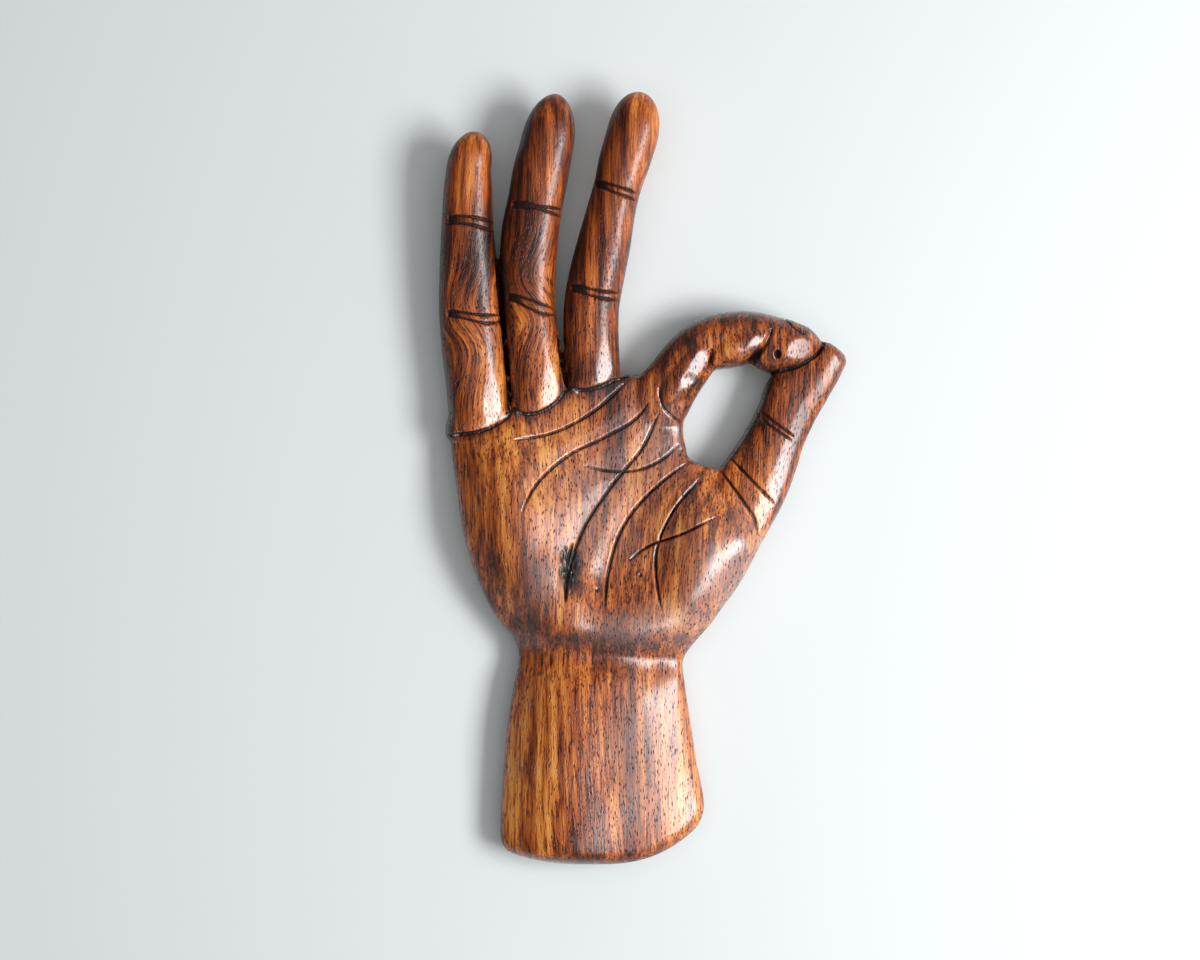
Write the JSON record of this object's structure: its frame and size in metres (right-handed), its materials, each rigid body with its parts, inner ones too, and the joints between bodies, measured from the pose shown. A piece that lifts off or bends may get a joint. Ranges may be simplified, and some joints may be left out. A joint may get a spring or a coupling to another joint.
{
  "type": "carved hand sculpture",
  "caption": "Carved wooden hand that lies palm up on a flat back, with straight fingers and the index finger and thumb closed into a ring.",
  "frame": {"origin": "on the resting plane, below the middle of the carving's box", "axes": "+Y from the wrist to the fingertips, +Z out of the palm, +X towards the thumb"},
  "size_m": [0.1586, 0.2999, 0.0298],
  "materials": {
    "lacquered_wood": "reddish-brown stain under clear semi-gloss lacquer, open pores"
  },
  "bodies": {
    "root": {"wrist": "lacquered_wood", "palm": "lacquered_wood", "thumb": "lacquered_wood", "index_finger": "lacquered_wood", "middle_finger": "lacquered_wood", "ring_finger": "lacquered_wood", "little_finger": "lacquered_wood"}
  },
  "joints": []
}
